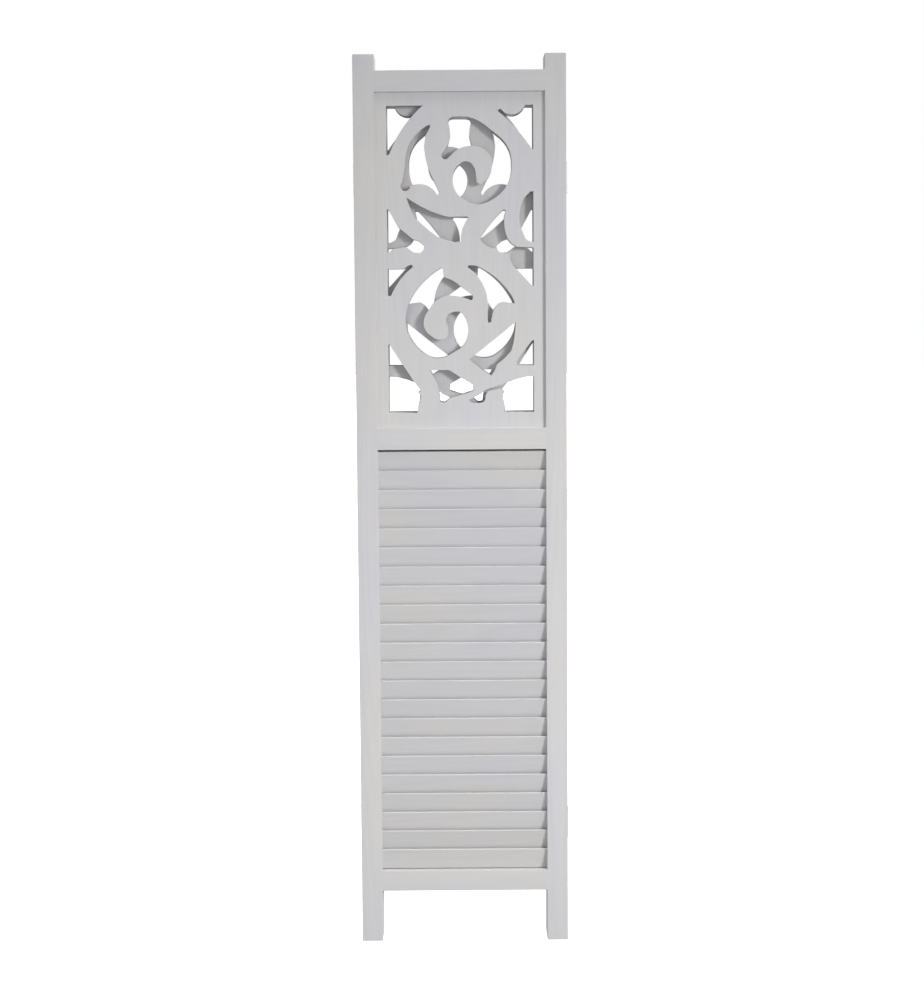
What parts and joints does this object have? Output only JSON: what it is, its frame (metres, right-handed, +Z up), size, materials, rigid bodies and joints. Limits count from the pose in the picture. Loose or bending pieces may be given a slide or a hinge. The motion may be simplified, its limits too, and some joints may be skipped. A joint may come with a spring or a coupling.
{
  "type": "folding room divider screen",
  "caption": "Tall hinged wooden room divider, shown folded flat: framed panels with pierced scrollwork boards above and fixed louvre slats below.",
  "frame": {"origin": "middle of the folded stack of panels, on the floor", "axes": "+Z up along the stiles; -Y is the way the first panel faces; +X to the right as seen from its front; the panels are stacked along +Y"},
  "size_m": [0.4046, 0.083, 1.7],
  "materials": {
    "painted_wood": "thin matt pale grey paint over softwood, with the grain just showing",
    "dowel_wood": "bare fluted beech, glued",
    "hinge_steel": "satin nickel-plated steel",
    "hinge_pin": "plain bright steel",
    "screw_steel": "zinc-plated steel"
  },
  "bodies": {
    "panel_1": {"panel_1_left_stile": "painted_wood", "panel_1_right_stile": "painted_wood", "panel_1_top_rail": "painted_wood", "panel_1_middle_rail": "painted_wood", "panel_1_bottom_rail": "painted_wood", "panel_1_fretwork": "painted_wood", "panel_1_louvres": "painted_wood", "panel_1_dowels": "dowel_wood", "hinge_12_front_leaves": "hinge_steel", "hinge_12_pins": "hinge_pin", "hinge_12_front_screws": "screw_steel"},
    "panel_2": {"panel_2_left_stile": "painted_wood", "panel_2_right_stile": "painted_wood", "panel_2_top_rail": "painted_wood", "panel_2_middle_rail": "painted_wood", "panel_2_bottom_rail": "painted_wood", "panel_2_fretwork": "painted_wood", "panel_2_louvres": "painted_wood", "panel_2_dowels": "dowel_wood", "hinge_12_rear_leaves": "hinge_steel", "hinge_12_rear_screws": "screw_steel", "hinge_23_front_leaves": "hinge_steel", "hinge_23_pins": "hinge_pin", "hinge_23_front_screws": "screw_steel"},
    "panel_3": {"panel_3_left_stile": "painted_wood", "panel_3_right_stile": "painted_wood", "panel_3_top_rail": "painted_wood", "panel_3_middle_rail": "painted_wood", "panel_3_bottom_rail": "painted_wood", "panel_3_fretwork": "painted_wood", "panel_3_louvres": "painted_wood", "panel_3_dowels": "dowel_wood", "hinge_23_rear_leaves": "hinge_steel", "hinge_23_rear_screws": "screw_steel", "hinge_34_front_leaves": "hinge_steel", "hinge_34_pins": "hinge_pin", "hinge_34_front_screws": "screw_steel"},
    "panel_4": {"panel_4_left_stile": "painted_wood", "panel_4_right_stile": "painted_wood", "panel_4_top_rail": "painted_wood", "panel_4_middle_rail": "painted_wood", "panel_4_bottom_rail": "painted_wood", "panel_4_fretwork": "painted_wood", "panel_4_louvres": "painted_wood", "panel_4_dowels": "dowel_wood", "hinge_34_rear_leaves": "hinge_steel", "hinge_34_rear_screws": "screw_steel"}
  },
  "joints": [
    {"name": "fold_12", "type": "hinge", "parent": "panel_1", "child": "panel_2", "pos_m": [0.2003, -0.021, 0.85], "axis": [0, 0, -1], "range_deg": [0, 180]},
    {"name": "fold_23", "type": "hinge", "parent": "panel_2", "child": "panel_3", "pos_m": [-0.2003, 0, 0.85], "axis": [0, 0, 1], "range_deg": [0, 180]},
    {"name": "fold_34", "type": "hinge", "parent": "panel_3", "child": "panel_4", "pos_m": [0.2003, 0.021, 0.85], "axis": [0, 0, -1], "range_deg": [0, 180]}
  ]
}
